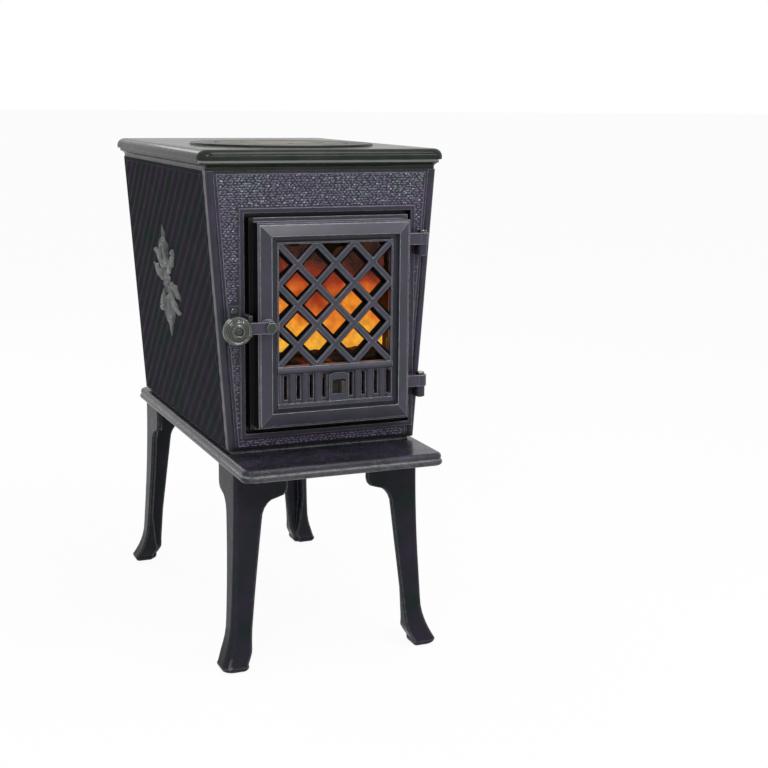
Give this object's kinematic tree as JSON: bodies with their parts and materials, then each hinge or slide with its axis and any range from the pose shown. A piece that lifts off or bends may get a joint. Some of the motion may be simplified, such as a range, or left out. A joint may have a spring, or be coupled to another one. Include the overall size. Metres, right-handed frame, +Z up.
{
  "type": "wood stove",
  "caption": "Small rectangular cast-iron box stove on curved legs, with a hinged lattice door, latch knob, air slide, lift-off round lid and rear flue collar.",
  "frame": {"origin": "on the floor, under the centre of the stove's bounding box", "axes": "+Z up, -Y towards the front with the door, +X to the side that carries the door hinges"},
  "size_m": [0.32, 0.55, 0.65],
  "materials": {
    "enamel_front": "gloss",
    "enamel_sides": "gloss",
    "enamel_legs": "gloss",
    "knob_metal": "gloss",
    "steel": "satin",
    "raw_iron": "matte",
    "rope": "matte",
    "glass": "gloss"
  },
  "bodies": {
    "stove": {"base_plate": "enamel_front", "front_left_leg": "enamel_legs", "front_right_leg": "enamel_legs", "rear_left_leg": "enamel_legs", "rear_right_leg": "enamel_legs", "left_side_plate": "enamel_sides", "right_side_plate": "enamel_sides", "front_plate": "enamel_front", "rear_plate": "enamel_sides", "top_plate": "enamel_front", "flue_collar": "enamel_sides", "flue_collar_screws": "steel", "tie_rods": "steel", "tie_rod_nuts": "steel", "fire_bed_plate": "raw_iron", "left_burn_plate": "raw_iron", "right_burn_plate": "raw_iron", "rear_burn_plate": "raw_iron", "baffle_plate": "raw_iron", "log_retainer": "raw_iron", "hinge_pins": "steel", "latch_keeper": "knob_metal", "keeper_screws": "steel"},
    "door": {"door_frame": "enamel_front", "door_grille": "enamel_front", "grille_screws": "steel", "door_gasket": "rope", "door_glass": "glass", "glass_gasket": "rope", "glass_clips": "steel", "glass_clip_screws": "steel", "slide_retainer": "steel", "retainer_screws": "steel", "latch_pivot_bolt": "steel"},
    "latch": {"latch_lever": "knob_metal", "latch_knob": "knob_metal", "knob_screw": "steel"},
    "air_slide": {"air_slide": "raw_iron"},
    "lid": {"cooking_plate": "enamel_front"}
  },
  "joints": [
    {"name": "door_hinge", "type": "hinge", "parent": "stove", "child": "door", "pos_m": [0.1265, -0.205, 0.434], "axis": [0, 0, 1], "range_deg": [0, 120]},
    {"name": "latch_pivot", "type": "hinge", "parent": "door", "child": "latch", "pos_m": [-0.0825, -0.225, 0.4365], "axis": [0, 1, 0], "range_deg": [0, 30]},
    {"name": "air_slide", "type": "slide", "parent": "door", "child": "air_slide", "axis": [1, 0, 0], "range_m": [-0.0084, 0]},
    {"name": "lid_lift", "type": "slide", "parent": "stove", "child": "lid", "axis": [0, 0, 1], "range_m": [0, 0.05]}
  ]
}
